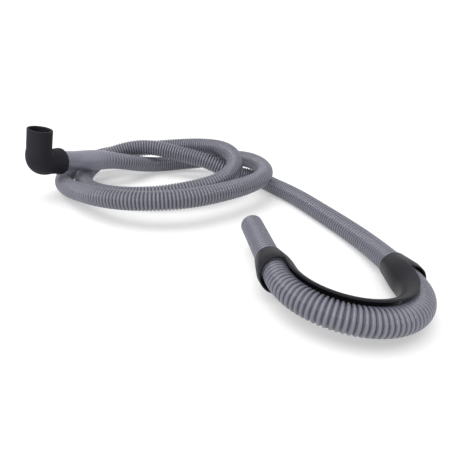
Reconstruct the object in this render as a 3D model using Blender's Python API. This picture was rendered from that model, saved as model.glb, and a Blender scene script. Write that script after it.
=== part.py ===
"""Washing machine drain hose with a rubber elbow at one end and a hook at the other.

The hose lies as it comes to rest on a floor: two loose turns, a long run, and a half turn that
the hook holds. The origin is on the floor, under the middle of the whole part. Lengths are in
metres and +Z is up.
"""
import math

import bmesh
import bpy
import numpy
from mathutils import Euler, Matrix, Vector

# Driving dimensions of the hose
hoseDiameter = 0.024
cuffDiameter = 0.0276
shoulderDiameter = 0.0292
cuffDepth = 0.012
cuffLength = 0.052
taperLength = 0.036
freeEndLength = 0.077
tubeResolution = 4

# Driving dimensions of the elbow
elbowCorner = (-0.20830, 0.04270, 0.05295)
elbowLean = 9.4
elbowHeading = 60.0
elbowDrop = 10.5
inletDiameter = 0.0306
outletDiameter = 0.0334
elbowWall = 0.0026
inletLength = 0.0425
outletLength = 0.0345
beadWidth = 0.0065
beadHeight = 0.0010
bendGap = 0.0010
cornerFullness = 0.27

# Driving dimensions of the hook
hookCentre = (0.14570, -0.15650, 0.02235)
hookTurn = (0.1, 4.1, 9.9)
bendRadius = 0.0628
collarOffset = -0.002
collarLength = 0.033
flareLength = 0.024
runMouthSlant = 0.0015
endMouthSlant = 0.0085
collarWall = 0.0011
strapWall = 0.0013
shellWall = 0.0021
shellGap = 0.0031
shellShift = 0.0008
collarShift = -0.0025
shellHalfAngle = 76.0
shellStart = 7.5
rimStep = 4.0

# Room between pieces that touch
clearance = 0.0003

# Points that the hose passes through between the elbow and the hook, chosen by hand
freeRun = [
    (-0.18030, 0.09050, 0.04265), (-0.15330, 0.11170, 0.04005), (-0.11910, 0.14070, 0.03110),
    (-0.09260, 0.18470, 0.01690), (-0.05460, 0.21370, 0.01305), (-0.00560, 0.21870, 0.01935),
    (0.04140, 0.19600, 0.03270), (0.07870, 0.15080, 0.03880), (0.08860, 0.11120, 0.03735),
    (0.07090, 0.06270, 0.03565), (0.03440, 0.01970, 0.03585), (-0.00660, -0.01230, 0.03585),
    (-0.05460, -0.02730, 0.03485), (-0.10460, -0.01730, 0.03135), (-0.14780, 0.01620, 0.02435),
    (-0.18430, 0.06240, 0.01585), (-0.20130, 0.10770, 0.01385), (-0.19250, 0.15270, 0.02135),
    (-0.15860, 0.18970, 0.02885), (-0.10660, 0.21270, 0.03535), (-0.05560, 0.21970, 0.04105),
    (-0.00760, 0.20570, 0.04765), (0.03140, 0.17070, 0.05035), (0.04490, 0.12470, 0.04265),
    (0.02840, 0.07970, 0.03235), (-0.01460, 0.04770, 0.02485), (-0.06560, 0.03270, 0.01935),
    (-0.11760, 0.04470, 0.01335), (-0.16280, 0.07900, 0.01235), (-0.17360, 0.12270, 0.01885),
    (-0.14980, 0.16220, 0.03450), (-0.09960, 0.18150, 0.04540), (-0.04660, 0.17850, 0.03960),
    (0.00240, 0.16950, 0.03085), (0.04070, 0.16670, 0.01740),
    (0.07560, 0.16430, 0.01215), (0.10020, 0.13420, 0.01195),
    (0.12670, 0.09420, 0.01195), (0.15840, 0.03020, 0.01195), (0.17640, -0.01040, 0.01195),
    (0.19290, -0.05800, 0.01315), (0.20040, -0.09980, 0.01645),
]

# Spacing of the tube's rings along the hose
cuffSpacing = 0.012
runSpacing = 0.034
bendSpacing = 0.020
sectionSides = 32


def clearScene():
    for item in list(bpy.data.objects):
        bpy.data.objects.remove(item)


def newCollection(name):
    collection = bpy.data.collections.new(name)
    bpy.context.scene.collection.children.link(collection)
    return collection


def newMaterial(name, colour, roughness):
    material = bpy.data.materials.new(name)
    material.use_nodes = True
    shader = material.node_tree.nodes["Principled BSDF"]
    shader.inputs["Base Color"].default_value = (*colour, 1.0)
    shader.inputs["Roughness"].default_value = roughness
    shader.inputs["Metallic"].default_value = 0.0
    return material


def finish(item, collection, material):
    collection.objects.link(item)
    item.data.materials.clear()
    item.data.materials.append(material)
    return item


def meshObject(name, points, faces):
    mesh = bpy.data.meshes.new(name)
    mesh.from_pydata(points, [], faces)
    shape = bmesh.new()
    shape.from_mesh(mesh)
    loose = [vertex for vertex in shape.verts if not vertex.link_faces]
    bmesh.ops.delete(shape, geom=loose, context="VERTS")
    bmesh.ops.recalc_face_normals(shape, faces=shape.faces)
    shape.to_mesh(mesh)
    shape.free()
    mesh.shade_smooth()
    mesh.set_sharp_from_angle(angle=math.radians(35.0))
    return bpy.data.objects.new(name, mesh)


def evenSteps(start, end, spacing):
    """Evenly spaced values from start to end, both included."""
    count = max(1, round((end - start) / spacing))
    return [start + (end - start) * index / count for index in range(count + 1)]


def smoothCurve(points):
    """A natural cubic spline through the points, as a function of the distance along them."""
    fixed = numpy.array([tuple(point) for point in points])
    gaps = numpy.linalg.norm(numpy.diff(fixed, axis=0), axis=1)
    knots = numpy.concatenate([[0.0], numpy.cumsum(gaps)])
    size = len(fixed)
    system = numpy.identity(size)
    target = numpy.zeros((size, 3))
    for index in range(1, size - 1):
        before = gaps[index - 1]
        after = gaps[index]
        system[index, index - 1] = before
        system[index, index] = 2.0 * (before + after)
        system[index, index + 1] = after
        slopeAfter = (fixed[index + 1] - fixed[index]) / after
        slopeBefore = (fixed[index] - fixed[index - 1]) / before
        target[index] = 6.0 * (slopeAfter - slopeBefore)
    bends = numpy.linalg.solve(system, target)

    def read(distance):
        index = int(numpy.clip(numpy.searchsorted(knots, distance) - 1, 0, size - 2))
        gap = gaps[index]
        ahead = (knots[index + 1] - distance) / gap
        behind = (distance - knots[index]) / gap
        straight = ahead * fixed[index] + behind * fixed[index + 1]
        lift = (ahead ** 3 - ahead) * bends[index] + (behind ** 3 - behind) * bends[index + 1]
        return Vector(straight + lift * gap * gap / 6.0)

    return read, knots


def outletDirection():
    """The way the elbow's outlet points, which is also the way the hose leaves it."""
    heading = math.radians(elbowHeading)
    drop = math.radians(elbowDrop)
    level = math.cos(drop)
    return Vector((math.cos(heading) * level, math.sin(heading) * level, -math.sin(drop)))


def elbowFrame():
    """The elbow's own axes, with its inlet along the third, and how far its bend turns."""
    lean = math.radians(elbowLean)
    up = Vector((math.sin(lean), 0.0, math.cos(lean)))
    out = outletDirection()
    away = (out - up * up.dot(out)).normalized()
    return Matrix((away.cross(up), away, up)).transposed(), math.pi - up.angle(out)


def cuffPoints():
    """The straight start of the hose, from its end inside the elbow to just past the rim."""
    along = outletDirection()
    rim = Vector(elbowCorner) + along * outletLength
    return [rim + along * offset for offset in (-cuffDepth, -cuffDepth / 2, 0.0, cuffDepth / 2)]


def hookFrame():
    angles = [math.radians(angle) for angle in hookTurn]
    return Euler(angles, "XYZ").to_matrix()


def hookPoint(x, y):
    """A point of the hook's own plane, in world space."""
    return Vector(hookCentre) + hookFrame() @ Vector((x, y, 0.0))


def bendPoint(angle, radius):
    return radius * math.cos(angle), -radius * math.sin(angle)


def heldPoints():
    """The hose's centre line inside the hook, from the first collar to the open end."""
    legEnd = collarOffset + collarLength
    points = [hookPoint(bendRadius, legEnd), hookPoint(bendRadius, legEnd / 2)]
    for angle in evenSteps(0.0, math.pi, bendSpacing / bendRadius):
        points.append(hookPoint(*bendPoint(angle, bendRadius)))
    openEnd = legEnd + freeEndLength
    for y in (legEnd / 2, legEnd, legEnd + freeEndLength / 2, openEnd):
        points.append(hookPoint(-bendRadius, y))
    return points


def hoseRadius(distance):
    """Half the hose's outer diameter at a distance from its end in the elbow."""
    visible = distance - cuffDepth
    taper = visible - cuffLength
    if taper > 0.0:
        share = min(1.0, taper / taperLength)
        return (shoulderDiameter + (hoseDiameter - shoulderDiameter) * share) / 2
    share = max(0.0, visible - cuffDepth) / (cuffLength - cuffDepth)
    return (cuffDiameter + (shoulderDiameter - cuffDiameter) * share) / 2


def buildHose(collection, material):
    start = cuffPoints()
    held = heldPoints()
    read, knots = smoothCurve(start + [Vector(point) for point in freeRun] + held)
    cuffEnd = cuffDepth + cuffLength + taperLength
    heldStart = knots[len(start) + len(freeRun)]
    places = evenSteps(0.0, cuffEnd, cuffSpacing)
    places += evenSteps(cuffEnd, heldStart, runSpacing)[1:]
    places += evenSteps(heldStart, knots[-1], bendSpacing)[1:]
    curve = bpy.data.curves.new("hose", "CURVE")
    curve.dimensions = "3D"
    curve.bevel_depth = hoseDiameter / 2
    curve.bevel_resolution = tubeResolution
    curve.use_fill_caps = True
    line = curve.splines.new("POLY")
    line.points.add(len(places) - 1)
    for point, place in zip(line.points, places):
        point.co = (*read(place), 1.0)
        point.radius = 2 * hoseRadius(place) / hoseDiameter
    item = bpy.data.objects.new("hose", curve)
    return finish(item, collection, material)


def elbowSections(radiusAt, fullness):
    """Rings of points down the inlet, round the bend and out along the outlet."""
    turn = elbowFrame()[1]
    pivotDistance = outletDiameter / 2 + bendGap
    tangent = pivotDistance * math.tan(turn / 2)
    pivot = Vector((0.0, pivotDistance, tangent))
    outlet = Vector((0.0, math.sin(turn), -math.cos(turn)))
    sections = []
    for offset in inletOffsets(tangent):
        sections.append((Vector((0.0, 0.0, offset)), Vector((0.0, -1.0, 0.0)), 0.0, "inlet", offset))
    for angle in evenSteps(0.0, turn, math.radians(10.0))[1:-1]:
        outward = Vector((0.0, -math.cos(angle), -math.sin(angle)))
        swell = math.sin(math.pi * angle / turn)
        sections.append((pivot + outward * pivotDistance, outward, swell, "bend", angle / turn))
    outward = Vector((0.0, -math.cos(turn), -math.sin(turn)))
    for offset in outletOffsets(tangent):
        sections.append((outlet * offset, outward, 0.0, "outlet", offset))
    rings = []
    side = Vector((1.0, 0.0, 0.0))
    for centre, outward, swell, zone, place in sections:
        radius = radiusAt(zone, place)
        ring = []
        for index in range(sectionSides):
            angle = 2 * math.pi * index / sectionSides
            reach = radius * math.cos(angle)
            if reach > 0.0:
                reach *= 1.0 + fullness * swell
            ring.append(centre + outward * reach + side * (radius * math.sin(angle)))
        rings.append(ring)
    return rings


def inletOffsets(tangent):
    return [inletLength, inletLength - elbowWall, tangent]


def outletOffsets(tangent):
    beadStart = outletLength - beadWidth
    return [tangent, beadStart - beadHeight, beadStart, outletLength - beadHeight, outletLength]


def elbowOuterRadius(zone, place):
    """The elbow's outer radius at an offset along a leg, or at a share of the bend."""
    if zone == "inlet":
        return inletDiameter / 2
    if zone == "bend":
        return (inletDiameter + (outletDiameter - inletDiameter) * place) / 2
    beadStart = outletLength - beadWidth
    raised = beadHeight if beadStart <= place < outletLength else 0.0
    return outletDiameter / 2 + raised


def elbowBoreRadius(zone, place):
    if zone == "outlet":
        return cuffDiameter / 2 + clearance * 2
    return inletDiameter / 2 - elbowWall


def buildElbow(collection, material):
    outer = elbowSections(elbowOuterRadius, cornerFullness)
    bore = elbowSections(elbowBoreRadius, cornerFullness)
    rings = outer + bore[::-1]
    points = [point for ring in rings for point in ring]
    count = len(rings)
    faces = []
    for level in range(count):
        below = (level + 1) % count
        for index in range(sectionSides):
            beside = (index + 1) % sectionSides
            faces.append((
                level * sectionSides + index,
                level * sectionSides + beside,
                below * sectionSides + beside,
                below * sectionSides + index,
            ))
    item = meshObject("elbow", points, faces)
    item.location = elbowCorner
    item.rotation_euler = elbowFrame()[0].to_euler()
    return finish(item, collection, material)


def hookStations():
    """Places along the hook as (centre, way to the bend's middle, flare, place on a collar)."""
    legEnd = collarOffset + collarLength
    flareEnd = legEnd - flareLength
    heights = evenSteps(legEnd, flareEnd, flareLength / 4)
    collar = [(Vector((bendRadius, y, 0.0)), Vector((-1.0, 0.0, 0.0)), flareShare(y),
               (legEnd - y) / collarLength) for y in heights + [collarOffset]]
    stations = list(collar)
    first = math.radians(shellStart)
    for angle in evenSteps(first, math.pi - first, math.radians(7.5)):
        inward = Vector((-math.cos(angle), math.sin(angle), 0.0))
        stations.append((Vector((*bendPoint(angle, bendRadius), 0.0)), inward, 1.0, None))
    for centre, inward, share, place in reversed(collar):
        stations.append((Vector((-centre.x, centre.y, 0.0)), -inward, share, place))
    return stations


def flareShare(y):
    """How far a collar has opened from its tight back edge to its full size."""
    share = min(1.0, (collarOffset + collarLength - y) / flareLength)
    return share * share * (3.0 - 2.0 * share)


def mouthSetback(centre, place, angle):
    """How far the slanted mouth draws a point of a collar back along the leg."""
    slant = runMouthSlant if centre.x > 0 else endMouthSlant
    return slant * place * (1.0 + math.sin(angle)) / 2


def hookColumns():
    """Angles round the hook's section as (angle, wall at full size), and the shell's count."""
    half = math.radians(shellHalfAngle)
    step = math.radians(rimStep)
    turn = math.radians(12.0)
    shell = [(angle, shellWall) for angle in evenSteps(-half, half, turn)]
    strap = evenSteps(half + step, 2 * math.pi - half - step, turn)
    return shell + [(angle, strapWall) for angle in strap], len(shell) - 1


def sectionPoint(centre, inward, shift, radius, angle):
    reach = shift + radius * math.cos(angle)
    return centre + inward * reach + Vector((0.0, 0.0, radius * math.sin(angle)))


def buildHook(collection, guides, material):
    """Two flared collars on the hose's legs, joined by a half shell along the bend."""
    stations = hookStations()
    columns, shellCount = hookColumns()
    count = len(columns)
    tightBore = hoseDiameter / 2 + clearance * 1.5
    fullBore = hoseDiameter / 2 + shellGap
    points = []
    for centre, inward, share, place in stations:
        along = 1.0 if place is None else place
        shift = (collarShift + (shellShift - collarShift) * along) * share
        bore = tightBore + (fullBore - tightBore) * share
        for angle, wall in columns:
            outside = bore + collarWall + (wall - collarWall) * share
            setback = 0.0 if place is None else mouthSetback(centre, place, angle)
            back = Vector((0.0, setback, 0.0))
            points.append(sectionPoint(centre + back, inward, shift, outside, angle))
            points.append(sectionPoint(centre + back, inward, shift, bore, angle))

    def present(level, index):
        if not 0 <= level < len(stations) - 1:
            return False
        closed = None not in (stations[level][3], stations[level + 1][3])
        return closed or index < shellCount

    def corner(level, index, inside):
        return 2 * (level * count + index % count) + inside

    faces = []
    for level in range(len(stations) - 1):
        for index in range(count):
            if not present(level, index):
                continue
            near = (level, index), (level, index + 1)
            far = (level + 1, index), (level + 1, index + 1)
            faces.append([corner(*place, 0) for place in (*near, far[1], far[0])])
            faces.append([corner(*place, 1) for place in (*near, far[1], far[0])])
            sides = (
                (level - 1, index, near[0], near[1]), (level + 1, index, far[0], far[1]),
                (level, (index - 1) % count, near[0], far[0]),
                (level, (index + 1) % count, near[1], far[1]),
            )
            for beyondLevel, beyondIndex, one, other in sides:
                if not present(beyondLevel, beyondIndex):
                    faces.append([corner(*one, 0), corner(*other, 0),
                                  corner(*other, 1), corner(*one, 1)])
    hook = meshObject("hook", points, faces)
    carrier = bpy.data.objects.new("hookFrame", None)
    guides.objects.link(carrier)
    carrier.location = hookCentre
    carrier.rotation_euler = [math.radians(angle) for angle in hookTurn]
    hook.parent = carrier
    return finish(hook, collection, material)


def main():
    clearScene()
    parts = newCollection("drainHose")
    guides = newCollection("guides")
    plastic = newMaterial("greyPlastic", (0.216, 0.223, 0.266), 0.40)
    rubber = newMaterial("blackRubber", (0.028, 0.029, 0.034), 0.60)
    moulding = newMaterial("blackMoulding", (0.032, 0.033, 0.036), 0.42)
    buildHose(parts, plastic)
    buildElbow(parts, rubber)
    buildHook(parts, guides, moulding)


main()
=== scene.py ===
import math

import bmesh
import bpy
import numpy
from mathutils import Euler, Matrix, Vector


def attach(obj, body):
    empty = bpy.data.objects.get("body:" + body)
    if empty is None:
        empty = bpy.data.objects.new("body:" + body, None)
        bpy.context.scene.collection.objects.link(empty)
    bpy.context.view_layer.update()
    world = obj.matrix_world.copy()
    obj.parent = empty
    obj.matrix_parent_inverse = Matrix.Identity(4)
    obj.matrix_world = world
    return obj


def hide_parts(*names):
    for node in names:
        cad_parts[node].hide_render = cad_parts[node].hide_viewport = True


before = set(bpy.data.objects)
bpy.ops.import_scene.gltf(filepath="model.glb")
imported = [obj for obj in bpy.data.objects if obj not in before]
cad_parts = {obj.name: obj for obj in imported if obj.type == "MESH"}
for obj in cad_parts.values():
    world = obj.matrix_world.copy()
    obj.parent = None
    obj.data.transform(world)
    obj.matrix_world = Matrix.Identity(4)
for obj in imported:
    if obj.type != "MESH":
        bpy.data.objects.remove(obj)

scene = bpy.context.scene
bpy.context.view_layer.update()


def evenSteps(start, end, spacing):
    # evenly spaced values going up, both ends included
    count = max(1, round((end - start) / spacing))
    return [start + (end - start) * index / count for index in range(count + 1)]


def linkObject(name, data):
    item = bpy.data.objects.new(name, data)
    scene.collection.objects.link(item)
    return item


def meshFromFaces(name, points, faces):
    mesh = bpy.data.meshes.new(name)
    mesh.from_pydata([tuple(point) for point in points], [], faces)
    shape = bmesh.new()
    shape.from_mesh(mesh)
    loose = [vertex for vertex in shape.verts if not vertex.link_faces]
    bmesh.ops.delete(shape, geom=loose, context="VERTS")
    bmesh.ops.recalc_face_normals(shape, faces=shape.faces)
    shape.to_mesh(mesh)
    shape.free()
    return mesh


def bakeModifiers(item, name):
    # the evaluated shape as a plain mesh object at the origin
    bpy.context.view_layer.update()
    graph = bpy.context.evaluated_depsgraph_get()
    mesh = bpy.data.meshes.new_from_object(item.evaluated_get(graph))
    mesh.transform(item.matrix_world)
    old = item.data
    bpy.data.objects.remove(item)
    if old.users == 0 and isinstance(old, bpy.types.Mesh):
        bpy.data.meshes.remove(old)
    mesh.name = name
    return linkObject(name, mesh)


def addNode(tree, kind, place, inputs=(), **settings):
    node = tree.nodes.new(kind)
    node.location = place
    for key, value in settings.items():
        setattr(node, key, value)
    for socket, value in dict(inputs).items():
        if isinstance(value, bpy.types.NodeSocket):
            tree.links.new(value, node.inputs[socket])
        else:
            node.inputs[socket].default_value = value
    return node


def newMaterial(name):
    material = bpy.data.materials.new(name)
    material.use_nodes = True
    tree = material.node_tree
    shader = tree.nodes["Principled BSDF"]
    return material, tree, shader


def spreadNoise(tree, place, noise, limits):
    # the middle of the noise's range, spread between two limits
    return addNode(tree, "ShaderNodeMapRange", place,
                   {"Value": noise.outputs["Fac"], "From Min": 0.3, "From Max": 0.7,
                    "To Min": limits[0], "To Max": limits[1]}).outputs["Result"]


def addColourRamp(tree, place, factor, stops):
    node = addNode(tree, "ShaderNodeValToRGB", place, {"Fac": factor})
    for index, (position, colour) in enumerate(stops):
        node.color_ramp.elements[index].position = position
        node.color_ramp.elements[index].color = colour
    return node.outputs["Color"]


def addSurface(tree, shader, finish):
    # cloudy gloss and a fine grain; gives back the clouds for the colour
    place = addNode(tree, "ShaderNodeTexCoord", (-1100, -100)).outputs["Object"]
    scale, detail, roughness = finish["clouds"]
    clouds = addNode(tree, "ShaderNodeTexNoise", (-900, -100),
                     {"Vector": place, "Scale": scale, "Detail": detail,
                      "Roughness": roughness})
    tree.links.new(spreadNoise(tree, (-480, -100), clouds, finish["roughness"]),
                   shader.inputs["Roughness"])
    scale, detail = finish["grain"]
    grain = addNode(tree, "ShaderNodeTexNoise", (-700, -350),
                    {"Vector": place, "Scale": scale, "Detail": detail})
    strength, distance = finish["bump"]
    bump = addNode(tree, "ShaderNodeBump", (-300, -350),
                   {"Height": grain.outputs["Fac"], "Strength": strength,
                    "Distance": distance})
    tree.links.new(bump.outputs["Normal"], shader.inputs["Normal"])
    shader.inputs["Specular IOR Level"].default_value = finish["gloss"]
    return clouds


def blackFinish(name, finish):
    material, tree, shader = newMaterial(name)
    clouds = addSurface(tree, shader, finish)
    tree.links.new(addColourRamp(tree, (-680, 150), clouds.outputs["Fac"], finish["stops"]),
                   shader.inputs["Base Color"])
    return material


hoseSizes = {
    "diameter": 0.024,
    "cuffDiameter": 0.0276,
    "shoulderDiameter": 0.0292,
    "cuffDepth": 0.012,        # inside the elbow
    "cuffLength": 0.052,
    "taperLength": 0.036,
    "freeEndLength": 0.077,
    "routeStep": 0.003,
    "ribPitch": 0.0042,
    "grooveDepth": 0.0017,
    "grooveSharpness": 2.5,
    "ribStart": 0.050,         # the ribs rise out of the smooth cuff from here
    "ribFull": 0.120,
    "samplesPerRib": 6,
    "sides": 27,
    "wall": 0.0019,            # from the top of a rib to the bore
    "boreDepth": 0.070,
}

# points that the hose passes through between the elbow and the hook
freeRun = [
    (-0.18030, 0.09050, 0.04265), (-0.15330, 0.11170, 0.04005), (-0.11910, 0.14070, 0.03110),
    (-0.09260, 0.18470, 0.01690), (-0.05460, 0.21370, 0.01305), (-0.00560, 0.21870, 0.01935),
    (0.04140, 0.19600, 0.03270), (0.07870, 0.15080, 0.03880), (0.08860, 0.11120, 0.03735),
    (0.07090, 0.06270, 0.03565), (0.03440, 0.01970, 0.03585), (-0.00660, -0.01230, 0.03585),
    (-0.05460, -0.02730, 0.03485), (-0.10460, -0.01730, 0.03135), (-0.14780, 0.01620, 0.02435),
    (-0.18430, 0.06240, 0.01585), (-0.20130, 0.10770, 0.01385), (-0.19250, 0.15270, 0.02135),
    (-0.15860, 0.18970, 0.02885), (-0.10660, 0.21270, 0.03535), (-0.05560, 0.21970, 0.04105),
    (-0.00760, 0.20570, 0.04765), (0.03140, 0.17070, 0.05035), (0.04490, 0.12470, 0.04265),
    (0.02840, 0.07970, 0.03235), (-0.01460, 0.04770, 0.02485), (-0.06560, 0.03270, 0.01935),
    (-0.11760, 0.04470, 0.01335), (-0.16280, 0.07900, 0.01235), (-0.17360, 0.12270, 0.01885),
    (-0.14980, 0.16220, 0.03450), (-0.09960, 0.18150, 0.04540), (-0.04660, 0.17850, 0.03960),
    (0.00240, 0.16950, 0.03085), (0.04070, 0.16670, 0.01740),
    (0.07560, 0.16430, 0.01215), (0.10020, 0.13420, 0.01195),
    (0.12670, 0.09420, 0.01195), (0.15840, 0.03020, 0.01195), (0.17640, -0.01040, 0.01195),
    (0.19290, -0.05800, 0.01315), (0.20040, -0.09980, 0.01645),
]


def smoothCurve(points):
    # a natural cubic spline through the points, read by the distance along them
    fixed = numpy.array([tuple(point) for point in points])
    gaps = numpy.linalg.norm(numpy.diff(fixed, axis=0), axis=1)
    knots = numpy.concatenate([[0.0], numpy.cumsum(gaps)])
    size = len(fixed)
    system = numpy.identity(size)
    target = numpy.zeros((size, 3))
    for index in range(1, size - 1):
        before = gaps[index - 1]
        after = gaps[index]
        system[index, index - 1] = before
        system[index, index] = 2.0 * (before + after)
        system[index, index + 1] = after
        slopeAfter = (fixed[index + 1] - fixed[index]) / after
        slopeBefore = (fixed[index] - fixed[index - 1]) / before
        target[index] = 6.0 * (slopeAfter - slopeBefore)
    bends = numpy.linalg.solve(system, target)

    def read(distance):
        index = int(numpy.clip(numpy.searchsorted(knots, distance) - 1, 0, size - 2))
        gap = gaps[index]
        ahead = (knots[index + 1] - distance) / gap
        behind = (distance - knots[index]) / gap
        straight = ahead * fixed[index] + behind * fixed[index + 1]
        lift = (ahead ** 3 - ahead) * bends[index] + (behind ** 3 - behind) * bends[index + 1]
        return Vector(straight + lift * gap * gap / 6.0)

    return read, knots


def hoseRoute(hose, elbow, hook):
    # from inside the elbow, round the two loose turns and the hook's bend, to the open end
    along = outletDirection(elbow)
    rim = Vector(elbow["corner"]) + along * elbow["outletLength"]
    depth = hose["cuffDepth"]
    start = [rim + along * offset for offset in (-depth, -depth / 2, 0.0, depth / 2)]
    place = hookMatrix(hook)
    radius = hook["bendRadius"]
    legEnd = hook["collarOffset"] + hook["collarLength"]
    held = [(radius, legEnd), (radius, legEnd / 2)]
    for angle in evenSteps(0.0, math.pi, hook["bendSpacing"] / radius):
        held.append((radius * math.cos(angle), -radius * math.sin(angle)))
    openEnd = legEnd + hose["freeEndLength"]
    for y in (legEnd / 2, legEnd, legEnd + hose["freeEndLength"] / 2, openEnd):
        held.append((-radius, y))
    held = [place @ Vector((x, y, 0.0)) for x, y in held]
    read, knots = smoothCurve(start + [Vector(point) for point in freeRun] + held)
    return [read(distance) for distance in evenSteps(0.0, knots[-1], hose["routeStep"])]


def tubeInputs(sizes, material):
    # the named inputs of the ribbed tube, with their values
    cuffEnd = sizes["cuffDepth"] + sizes["cuffLength"]
    return {
        "Radius": sizes["diameter"] / 2,
        "Cuff Radius": sizes["cuffDiameter"] / 2,
        "Shoulder Radius": sizes["shoulderDiameter"] / 2,
        "Cuff Start": sizes["cuffDepth"] * 2,
        "Cuff End": cuffEnd,
        "Taper End": cuffEnd + sizes["taperLength"],
        "Rib Start": sizes["ribStart"],
        "Rib Full": sizes["ribFull"],
        "Rib Pitch": sizes["ribPitch"],
        "Groove Depth": sizes["grooveDepth"],
        "Groove Sharpness": sizes["grooveSharpness"],
        "Samples Per Rib": sizes["samplesPerRib"],
        "Sides": sizes["sides"],
        "Wall": sizes["wall"],
        "Bore Depth": sizes["boreDepth"],
        "Material": material,
    }


def ribbedTubeTree(inputs):
    # a tube along a curve whose radius dips into a groove between every two ribs
    tree = bpy.data.node_groups.new("ribbedTube", "GeometryNodeTree")
    face = tree.interface
    face.new_socket("Geometry", in_out="INPUT", socket_type="NodeSocketGeometry")
    face.new_socket("Geometry", in_out="OUTPUT", socket_type="NodeSocketGeometry")
    kinds = {float: "NodeSocketFloat", int: "NodeSocketInt",
             bpy.types.Material: "NodeSocketMaterial"}
    for name, value in inputs.items():
        face.new_socket(name, in_out="INPUT", socket_type=kinds[type(value)])
    start = addNode(tree, "NodeGroupInput", (-1500, 0))
    size = start.outputs
    smooth = addNode(tree, "GeometryNodeCurveSplineType", (-1300, 200),
                     {"Curve": size["Geometry"]}, spline_type="CATMULL_ROM")
    fine = addNode(tree, "GeometryNodeSetSplineResolution", (-1120, 200),
                   {"Geometry": smooth.outputs[0], "Resolution": 6})
    length = addNode(tree, "GeometryNodeCurveLength", (-1300, 380), {"Curve": fine.outputs[0]})

    def maths(operation, place, *values):
        return addNode(tree, "ShaderNodeMath", place, dict(enumerate(values)),
                       operation=operation).outputs[0]

    def ramp(place, value, low, high, bottom, top):
        return addNode(tree, "ShaderNodeMapRange", place,
                       {"Value": value, "From Min": low, "From Max": high,
                        "To Min": bottom, "To Max": top},
                       interpolation_type="SMOOTHSTEP").outputs["Result"]

    ribs = maths("ROUND", (-1120, 380),
                 maths("DIVIDE", (-1120, 500), length.outputs[0], size["Rib Pitch"]))
    count = maths("ADD", (-780, 380),
                  maths("MULTIPLY", (-940, 380), ribs, size["Samples Per Rib"]), 1.0)
    line = addNode(tree, "GeometryNodeResampleCurve", (-600, 200),
                   {"Curve": fine.outputs[0], "Count": count}, mode="COUNT")
    along = addNode(tree, "GeometryNodeSplineParameter", (-1300, -200)).outputs["Length"]
    index = addNode(tree, "GeometryNodeInputIndex", (-1300, -420)).outputs[0]
    # a power of a sine gives broad crests and narrow grooves
    turn = maths("MULTIPLY", (-960, -420),
                 maths("DIVIDE", (-1120, -420), index, size["Samples Per Rib"]), math.pi)
    wave = maths("POWER", (-640, -420),
                 maths("ABSOLUTE", (-800, -420), maths("SINE", (-800, -540), turn)),
                 maths("MULTIPLY", (-800, -660), size["Groove Sharpness"], 2.0))
    fade = ramp((-960, -760), along, size["Rib Start"], size["Rib Full"], 0.0, 1.0)
    groove = maths("MULTIPLY", (-460, -420), wave, fade)
    cuff = ramp((-960, -200), along, size["Cuff Start"], size["Cuff End"],
                size["Cuff Radius"], size["Shoulder Radius"])
    narrowing = maths("SUBTRACT", (-960, -60), size["Shoulder Radius"], size["Radius"])
    taper = ramp((-780, -60), along, size["Cuff End"], size["Taper End"], 0.0, narrowing)
    base = maths("SUBTRACT", (-600, -160), cuff, taper)
    radius = maths("SUBTRACT", (-300, -200), base,
                   maths("MULTIPLY", (-300, -360), groove, size["Groove Depth"]))
    # the groove depth is also kept for the hose's colour, which paints shade into the grooves
    grooved = addNode(tree, "GeometryNodeStoreNamedAttribute", (-280, 200),
                      {"Geometry": line.outputs[0], "Name": "groove", "Value": groove},
                      data_type="FLOAT", domain="POINT")
    measured = addNode(tree, "GeometryNodeStoreNamedAttribute", (-100, 200),
                       {"Geometry": grooved.outputs[0], "Name": "along", "Value": along},
                       data_type="FLOAT", domain="POINT")
    profile = addNode(tree, "GeometryNodeCurvePrimitiveCircle", (-100, -20),
                      {"Resolution": size["Sides"], "Radius": 1.0}, mode="RADIUS")
    outside = addNode(tree, "GeometryNodeCurveToMesh", (100, 200),
                      {"Curve": measured.outputs[0], "Profile Curve": profile.outputs[0],
                       "Scale": radius})
    # the bore behind the open end; inputs 4 and 5 are the cut's two lengths
    boreStart = maths("SUBTRACT", (-300, 500), length.outputs[0], size["Bore Depth"])
    cut = addNode(tree, "GeometryNodeTrimCurve", (-100, 500),
                  {"Curve": measured.outputs[0], 4: boreStart, 5: length.outputs[0]},
                  mode="LENGTH")
    inner = maths("SUBTRACT", (100, 620), size["Radius"], size["Wall"])
    inside = addNode(tree, "GeometryNodeCurveToMesh", (300, 500),
                     {"Curve": cut.outputs[0], "Profile Curve": profile.outputs[0],
                      "Scale": inner})
    turned = addNode(tree, "GeometryNodeFlipFaces", (480, 500), {"Mesh": inside.outputs[0]})
    joined = addNode(tree, "GeometryNodeJoinGeometry", (660, 200))
    tree.links.new(outside.outputs[0], joined.inputs[0])
    tree.links.new(turned.outputs[0], joined.inputs[0])
    soft = addNode(tree, "GeometryNodeSetShadeSmooth", (840, 200),
                   {"Geometry": joined.outputs[0]})
    real = addNode(tree, "GeometryNodeRealizeInstances", (1020, 200),
                   {"Geometry": soft.outputs[0]})
    dressed = addNode(tree, "GeometryNodeSetMaterial", (1200, 200),
                      {"Geometry": real.outputs[0], "Material": size["Material"]})
    end = addNode(tree, "NodeGroupOutput", (1380, 200))
    tree.links.new(dressed.outputs[0], end.inputs[0])
    return tree


def setInputs(modifier, values):
    for socket in modifier.node_group.interface.items_tree:
        if socket.item_type == "SOCKET" and socket.in_out == "INPUT" and socket.name in values:
            modifier[socket.identifier] = values[socket.name]


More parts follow.
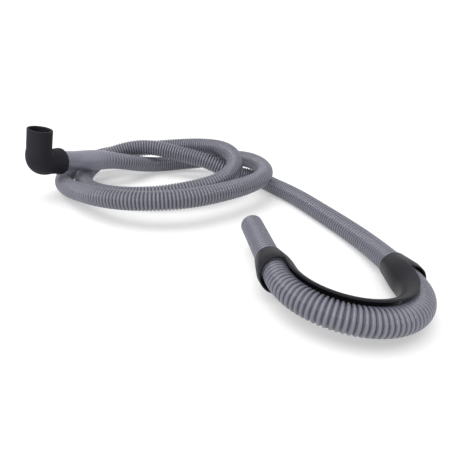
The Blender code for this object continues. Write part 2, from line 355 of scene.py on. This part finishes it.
def buildHose(route, sizes, material):
    curve = bpy.data.curves.new("hoseLine", "CURVE")
    curve.dimensions = "3D"
    line = curve.splines.new("POLY")
    line.points.add(len(route) - 1)
    for point, place in zip(line.points, route):
        point.co = (*place, 1.0)
    item = linkObject("hoseLine", curve)
    modifier = item.modifiers.new("ribs", "NODES")
    inputs = tubeInputs(sizes, material)
    modifier.node_group = ribbedTubeTree(inputs)
    setInputs(modifier, inputs)
    hose = bakeModifiers(item, "ribbedHose")
    closeHoseEnds(hose.data, route, sizes["diameter"])
    return hose


def closeHoseEnds(mesh, route, reach):
    # joins the open end to its bore, and closes the bore's bottom and the end in the elbow
    shape = bmesh.new()
    shape.from_mesh(mesh)
    rims = {}
    for edge in shape.edges:
        if not edge.is_boundary:
            continue
        middle = (edge.verts[0].co + edge.verts[1].co) / 2
        if (middle - route[0]).length < reach:
            rims.setdefault("start", []).append(edge)
        elif (middle - route[-1]).length < reach:
            rims.setdefault("end", []).append(edge)
        else:
            rims.setdefault("bore", []).append(edge)
    bmesh.ops.bridge_loops(shape, edges=rims["end"])
    for name in ("start", "bore"):
        bmesh.ops.edgeloop_fill(shape, edges=rims[name])
    shape.to_mesh(mesh)
    shape.free()


hoseFinish = {
    "stops": [(0.05, (0.196, 0.198, 0.247, 1.0)),      # on the ribs
              (0.75, (0.046, 0.047, 0.062, 1.0))],     # in the grooves, darker as painted shade
    "cuffFade": (0.06, 0.15),
    "cuffPaleness": 1.25,
    "mottle": (0.94, 1.05),
    "clouds": (38.0, 4.0, 0.55),
    "roughness": (0.21, 0.33),
    "grain": (900.0, 2.0),
    "bump": (0.12, 0.0004),
    "gloss": 0.5,
}


def hosePlastic(finish):
    material, tree, shader = newMaterial("greyHosePlastic")
    clouds = addSurface(tree, shader, finish)
    # the grooves are painted darker than the ribs: painted shade in the hollows between the ribs
    groove = addNode(tree, "ShaderNodeAttribute", (-1100, 200), attribute_name="groove")
    ribColourWithPaintedGrooveShade = addColourRamp(tree, (-880, 250), groove.outputs["Fac"], finish["stops"])
    tint = spreadNoise(tree, (-700, 0), clouds, finish["mottle"])
    # the smooth cuff is given a paler colour than the ribbed wall, fading out along the hose
    along = addNode(tree, "ShaderNodeAttribute", (-1100, 450), attribute_name="along")
    fadeStart, fadeEnd = finish["cuffFade"]
    cuffPaleShare = addNode(tree, "ShaderNodeMapRange", (-880, 450),
                    {"Value": along.outputs["Fac"], "From Min": fadeStart,
                     "From Max": fadeEnd, "To Min": finish["cuffPaleness"], "To Max": 1.0})
    shade = addNode(tree, "ShaderNodeMath", (-600, 150),
                    {0: cuffPaleShare.outputs["Result"], 1: tint}, operation="MULTIPLY")
    colour = addNode(tree, "ShaderNodeVectorMath", (-480, 200),
                     {0: ribColourWithPaintedGrooveShade, 1: shade.outputs[0]}, operation="MULTIPLY")
    tree.links.new(colour.outputs["Vector"], shader.inputs["Base Color"])
    return material


elbowSizes = {
    "corner": (-0.20830, 0.04270, 0.05295),
    "lean": 9.4,
    "heading": 60.0,
    "drop": 10.5,
    "inletDiameter": 0.0306,
    "outletDiameter": 0.0334,
    "wall": 0.0026,
    "inletLength": 0.0425,
    "outletLength": 0.0345,
    "rimDepth": 0.0030,
    "rimRound": 0.0007,
    "beadWidth": 0.0065,
    "beadHeight": 0.0010,
    "beadFlat": 0.0006,
    "beadRound": 0.0024,
    # (along from the bead's start, up from the barrel)
    "beadFoot": ((-0.0025, 0.0), (-0.0012, 0.0), (-0.0004, 0.0003), (0.0, 0.0006),
                 (0.0006, 0.0010)),
    # (back from the mouth, out from the bore)
    "inletLip": ((0.0, 0.0006), (0.0002, 0.0002), (0.0007, 0.0)),
    "outletLip": ((0.0010, 0.0), (0.0003, 0.0002), (0.0, 0.0006)),
    "socketStep": 0.0015,
    "cuffClearance": 0.0004,
    "bendGap": 0.0010,
    "cornerFullness": 0.27,
    "bendStep": 5.0,
    "sides": 64,
    "sharpAngle": 50.0,
}


def outletDirection(sizes):
    heading = math.radians(sizes["heading"])
    drop = math.radians(sizes["drop"])
    level = math.cos(drop)
    return Vector((math.cos(heading) * level, math.sin(heading) * level, -math.sin(drop)))


def elbowFrame(sizes):
    # the elbow's own axes, with its inlet along the third, and how far its bend turns
    lean = math.radians(sizes["lean"])
    up = Vector((math.sin(lean), 0.0, math.cos(lean)))
    out = outletDirection(sizes)
    away = (out - up * up.dot(out)).normalized()
    return Matrix((away.cross(up), away, up)).transposed(), math.pi - up.angle(out)


def elbowRings(sizes, profile, fullness):
    # rings of points down the inlet, round the bend and out along the outlet
    turn = elbowFrame(sizes)[1]
    pivotDistance = sizes["outletDiameter"] / 2 + sizes["bendGap"]
    tangent = pivotDistance * math.tan(turn / 2)
    pivot = Vector((0.0, pivotDistance, tangent))
    outlet = Vector((0.0, math.sin(turn), -math.cos(turn)))
    inletPart, bendRadii, outletPart = profile(tangent)
    sections = [(Vector((0.0, 0.0, offset)), Vector((0.0, -1.0, 0.0)), 0.0, radius)
                for offset, radius in inletPart]
    for angle in evenSteps(0.0, turn, math.radians(sizes["bendStep"]))[1:-1]:
        outward = Vector((0.0, -math.cos(angle), -math.sin(angle)))
        swell = math.sin(math.pi * angle / turn)
        radius = bendRadii[0] + (bendRadii[1] - bendRadii[0]) * angle / turn
        sections.append((pivot + outward * pivotDistance, outward, swell, radius))
    outward = Vector((0.0, -math.cos(turn), -math.sin(turn)))
    sections += [(outlet * offset, outward, 0.0, radius) for offset, radius in outletPart]
    side = Vector((1.0, 0.0, 0.0))
    rings = []
    for centre, outward, swell, radius in sections:
        ring = []
        for index in range(sizes["sides"]):
            angle = 2 * math.pi * index / sizes["sides"]
            reach = radius * math.cos(angle)
            if reach > 0.0:
                reach *= 1.0 + fullness * swell
            ring.append(centre + outward * reach + side * (radius * math.sin(angle)))
        rings.append(ring)
    return rings


def buildElbow(hose, sizes, material):
    narrow = sizes["inletDiameter"] / 2
    wide = sizes["outletDiameter"] / 2
    bore = narrow - sizes["wall"]
    socket = hose["cuffDiameter"] / 2 + sizes["cuffClearance"]
    inletEnd = sizes["inletLength"]
    outletEnd = sizes["outletLength"]
    soft = sizes["rimRound"]
    edge = sizes["beadRound"]
    bead = wide + sizes["beadHeight"]
    beadStart = outletEnd - sizes["beadWidth"]
    rimStart = inletEnd - sizes["rimDepth"]
    corner = [math.radians(angle) for angle in (0.0, 22.5, 45.0, 67.5, 90.0)]

    def outside(tangent):
        inlet = [(inletEnd - soft + soft * math.sin(angle), narrow - soft + soft * math.cos(angle))
                 for angle in reversed(corner)]
        inlet += [(rimStart, narrow), (tangent, narrow)]
        outlet = [(tangent, wide)]
        outlet += [(beadStart + along, wide + up) for along, up in sizes["beadFoot"]]
        outlet.append((outletEnd - edge - sizes["beadFlat"], bead))
        outlet += [(outletEnd - edge + edge * math.sin(angle),
                    bead - edge + edge * math.cos(angle)) for angle in corner]
        return inlet, (narrow, wide), outlet

    def inside(tangent):
        inlet = [(inletEnd - back, bore + out) for back, out in sizes["inletLip"]]
        inlet += [(rimStart, bore), (tangent, bore)]
        outlet = [(tangent, bore), (tangent + sizes["socketStep"], socket)]
        outlet += [(outletEnd - back, socket + out) for back, out in sizes["outletLip"]]
        return inlet, (bore, bore), outlet

    rings = elbowRings(sizes, outside, sizes["cornerFullness"])
    rings += elbowRings(sizes, inside, sizes["cornerFullness"])[::-1]
    sides = sizes["sides"]
    faces = []
    for level in range(len(rings)):
        beyond = (level + 1) % len(rings)
        for index in range(sides):
            beside = (index + 1) % sides
            faces.append((level * sides + index, level * sides + beside,
                          beyond * sides + beside, beyond * sides + index))
    mesh = meshFromFaces("rubberElbow", [point for ring in rings for point in ring], faces)
    mesh.transform(Matrix.Translation(sizes["corner"])
                   @ elbowFrame(sizes)[0].to_4x4())
    mesh.shade_smooth()
    mesh.set_sharp_from_angle(angle=math.radians(sizes["sharpAngle"]))
    mesh.materials.append(material)
    return linkObject("rubberElbow", mesh)


elbowFinish = {
    "stops": [(0.35, (0.0150, 0.0153, 0.0200, 1.0)), (0.75, (0.0180, 0.0185, 0.0240, 1.0))],
    "clouds": (60.0, 5.0, 0.6),
    "roughness": (0.62, 0.78),
    "grain": (1400.0, 3.0),
    "bump": (0.2, 0.0004),
    "gloss": 0.22,
}


hookSizes = {
    "centre": (0.14570, -0.15650, 0.02235),
    "turn": (0.1, 4.1, 9.9),
    "bendRadius": 0.0628,
    "bendSpacing": 0.020,
    "collarOffset": -0.002,
    "collarLength": 0.033,
    "flareLength": 0.024,
    "runMouthSlant": 0.0015,
    "endMouthSlant": 0.0085,
    "collarWall": 0.0011,
    "collarGap": 0.00045,
    "collarShift": -0.0025,
    "strapWall": 0.0013,
    "shellWall": 0.0021,
    "shellGap": 0.0031,
    "shellShift": 0.0008,
    "shellHalfAngle": 76.0,
    "shellStart": 7.5,
    "shellStep": 3.0,
    "rimStep": 4.0,
    "wallStep": 5.0,
    "edgeRound": 0.00035,
    "edgeAngle": 40.0,
    "sharpAngle": 50.0,
}


def hookMatrix(sizes):
    angles = [math.radians(angle) for angle in sizes["turn"]]
    return Matrix.Translation(sizes["centre"]) @ Euler(angles, "XYZ").to_matrix().to_4x4()


def hookStations(sizes):
    # places along the hook as (centre, way to the bend's middle, flare, place on a collar)
    legEnd = sizes["collarOffset"] + sizes["collarLength"]
    radius = sizes["bendRadius"]
    # a collar widens in a cone from its mouth and then runs level
    widening = [(legEnd, 0.0), (legEnd - sizes["flareLength"], 1.0), (sizes["collarOffset"], 1.0)]
    stations = [(Vector((radius, y, 0.0)), Vector((-1.0, 0.0, 0.0)), share,
                 (legEnd - y) / sizes["collarLength"]) for y, share in widening]
    collars = list(stations)
    first = math.radians(sizes["shellStart"])
    for angle in evenSteps(first, math.pi - first, math.radians(sizes["shellStep"])):
        inward = Vector((-math.cos(angle), math.sin(angle), 0.0))
        centre = Vector((radius * math.cos(angle), -radius * math.sin(angle), 0.0))
        stations.append((centre, inward, 1.0, None))
    for centre, inward, share, place in reversed(collars):
        stations.append((Vector((-centre.x, centre.y, 0.0)), -inward, share, place))
    return stations


def buildHook(hose, sizes, material):
    stations = hookStations(sizes)
    half = math.radians(sizes["shellHalfAngle"])
    step = math.radians(sizes["rimStep"])
    turn = math.radians(sizes["wallStep"])
    columns = [(angle, sizes["shellWall"]) for angle in evenSteps(-half, half, turn)]
    shellCount = len(columns) - 1
    columns += [(angle, sizes["strapWall"])
                for angle in evenSteps(half + step, 2 * math.pi - half - step, turn)]
    count = len(columns)
    tightBore = hose["diameter"] / 2 + sizes["collarGap"]
    fullBore = hose["diameter"] / 2 + sizes["shellGap"]
    points = []
    for centre, inward, share, place in stations:
        along = 1.0 if place is None else place
        bore = tightBore + (fullBore - tightBore) * share
        turned = sizes["shellShift"] - sizes["collarShift"]
        shift = (sizes["collarShift"] + turned * along) * share
        slant = sizes["runMouthSlant"] if centre.x > 0 else sizes["endMouthSlant"]
        drawn = 0.0 if place is None else slant * place
        for angle, wall in columns:
            outside = bore + sizes["collarWall"] + (wall - sizes["collarWall"]) * share
            back = drawn * (1.0 + math.sin(angle)) / 2     # the mouth slants back at the top
            for radius in (outside, bore):
                reach = shift + radius * math.cos(angle)
                rise = Vector((0.0, back, radius * math.sin(angle)))
                points.append(centre + inward * reach + rise)

    def present(level, index):
        if not 0 <= level < len(stations) - 1:
            return False
        closed = None not in (stations[level][3], stations[level + 1][3])
        return closed or index < shellCount

    def corner(place, inside):
        return 2 * (place[0] * count + place[1] % count) + inside

    faces = []
    for level in range(len(stations) - 1):
        for index in range(count):
            if not present(level, index):
                continue
            near = (level, index), (level, index + 1)
            far = (level + 1, index), (level + 1, index + 1)
            for inside in (0, 1):
                faces.append([corner(place, inside) for place in (*near, far[1], far[0])])
            for besideLevel, besideIndex, one, other in (
                (level - 1, index, *near), (level + 1, index, *far),
                (level, (index - 1) % count, near[0], far[0]),
                (level, (index + 1) % count, near[1], far[1]),
            ):
                if not present(besideLevel, besideIndex):
                    faces.append([corner(one, 0), corner(other, 0),
                                  corner(other, 1), corner(one, 1)])
    mesh = meshFromFaces("hookShell", points, faces)
    mesh.transform(hookMatrix(sizes))
    mesh.materials.append(material)
    item = linkObject("hookShell", mesh)
    bevel = item.modifiers.new("edges", "BEVEL")
    bevel.width = sizes["edgeRound"]
    bevel.segments = 2
    bevel.limit_method = "ANGLE"
    bevel.angle_limit = math.radians(sizes["edgeAngle"])
    hook = bakeModifiers(item, "mouldedHook")
    hook.data.shade_smooth()
    hook.data.set_sharp_from_angle(angle=math.radians(sizes["sharpAngle"]))
    return hook


hookFinish = {
    "stops": [(0.35, (0.0138, 0.0141, 0.0182, 1.0)), (0.7, (0.0172, 0.0176, 0.0222, 1.0))],
    "clouds": (45.0, 4.0, 0.5),
    "roughness": (0.38, 0.50),
    "grain": (1100.0, 2.0),
    "bump": (0.15, 0.0003),
    "gloss": 0.16,
}


stageLook = {
    "floorReach": 9.0,
    "floorGrey": 0.86,
    "floorLift": 0.25,         # seen by the camera, but no light on the hose
    "skyLight": 0.52,          # the camera itself sees 1
}


def cameraOnly(tree, place):
    # 1 for what the camera, a gloss or a glass ray sees, 0 for light on the object
    path = addNode(tree, "ShaderNodeLightPath", place)
    seen = addNode(tree, "ShaderNodeMath", (place[0] + 180, place[1]),
                   {0: path.outputs["Is Camera Ray"], 1: path.outputs["Is Glossy Ray"]},
                   operation="MAXIMUM")
    both = addNode(tree, "ShaderNodeMath", (place[0] + 360, place[1]),
                   {0: seen.outputs[0], 1: path.outputs["Is Transmission Ray"]},
                   operation="MAXIMUM")
    return both.outputs[0]


def buildFloor(look):
    material, tree, shader = newMaterial("paleFloor")
    tree.nodes.remove(shader)
    output = tree.nodes["Material Output"]
    grey = look["floorGrey"]
    matt = addNode(tree, "ShaderNodeBsdfDiffuse", (-300, 200),
                   {"Color": (grey, grey, grey, 1.0)})
    lift = addNode(tree, "ShaderNodeEmission", (-300, 0),
                   {"Color": (1.0, 1.0, 1.0, 1.0), "Strength": 0.0})
    share = addNode(tree, "ShaderNodeMath", (-480, 0),
                    {0: cameraOnly(tree, (-900, 0)), 1: look["floorLift"]},
                    operation="MULTIPLY")
    tree.links.new(share.outputs[0], lift.inputs["Strength"])
    both = addNode(tree, "ShaderNodeAddShader", (-100, 100),
                   {0: matt.outputs[0], 1: lift.outputs[0]})
    tree.links.new(both.outputs[0], output.inputs["Surface"])
    reach = look["floorReach"]
    corners = [(-reach, -reach, 0), (reach, -reach, 0), (reach, reach, 0), (-reach, reach, 0)]
    mesh = meshFromFaces("floor", corners, [(0, 1, 2, 3)])
    if mesh.polygons[0].normal.z < 0:
        mesh.flip_normals()
    mesh.materials.append(material)
    floor = linkObject("floor", mesh)


def buildWorld(look):
    world = bpy.data.worlds.new("studio")
    world.use_nodes = True
    tree = world.node_tree
    background = tree.nodes["Background"]
    background.inputs["Color"].default_value = (1.0, 1.0, 1.0, 1.0)
    level = addNode(tree, "ShaderNodeMapRange", (-250, 0),
                    {"Value": cameraOnly(tree, (-900, 0)), "To Min": look["skyLight"],
                     "To Max": 1.0})
    tree.links.new(level.outputs["Result"], background.inputs["Strength"])
    scene.world = world


def addSoftSun(name, place, spread, strength, shadows=True):
    # parallel light lights the far floor as much as the near one
    lamp = bpy.data.lights.new(name, "SUN")
    lamp.angle = math.radians(spread)
    lamp.energy = strength
    lamp.use_shadow = shadows
    item = linkObject(name, lamp)
    item.location = place
    item.rotation_euler = (-Vector(place)).to_track_quat("-Z", "Y").to_euler()


cameraView = {
    "place": (0.03740, -0.47930, 0.20955),
    "pitch": 66.096,
    "roll": 3.437,
    "lens": 33.45,
}


def placeCamera(view):
    data = bpy.data.cameras.new("camera")
    data.lens = view["lens"]
    data.sensor_width = 36.0
    data.clip_start = 0.01
    camera = linkObject("camera", data)
    camera.matrix_world = (
        Matrix.Translation(view["place"])
        @ Matrix.Rotation(math.radians(view["pitch"]), 4, "X")
        @ Matrix.Rotation(math.radians(view["roll"]), 4, "Z"))
    scene.camera = camera


placeCamera(cameraView)
buildFloor(stageLook)
buildWorld(stageLook)
addSoftSun("key", (-0.40, -0.30, 1.15), 50.0, 1.35)
# a small light that only puts glints on the ribs
addSoftSun("spark", (-0.22, -0.80, 0.55), 4.0, 0.80, shadows=False)
scene.view_settings.view_transform = "Standard"
print("stage ready")

route = hoseRoute(hoseSizes, elbowSizes, hookSizes)
routeLength = sum((b - a).length for a, b in zip(route, route[1:]))
hose = buildHose(route, hoseSizes, hosePlastic(hoseFinish))
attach(hose, "root")
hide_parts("hose")
tuple(route[0])
[tuple(p) for p in route]
print("hose:", len(hose.data.polygons), "faces,", round(routeLength, 3), "m")

elbow = buildElbow(hoseSizes, elbowSizes, blackFinish("blackElbowRubber", elbowFinish))
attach(elbow, "root")
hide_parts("elbow")
print("elbow:", len(elbow.data.polygons), "faces")

hook = buildHook(hoseSizes, hookSizes, blackFinish("blackHookPlastic", hookFinish))
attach(hook, "root")
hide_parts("hook")
print("hook:", len(hook.data.polygons), "faces")
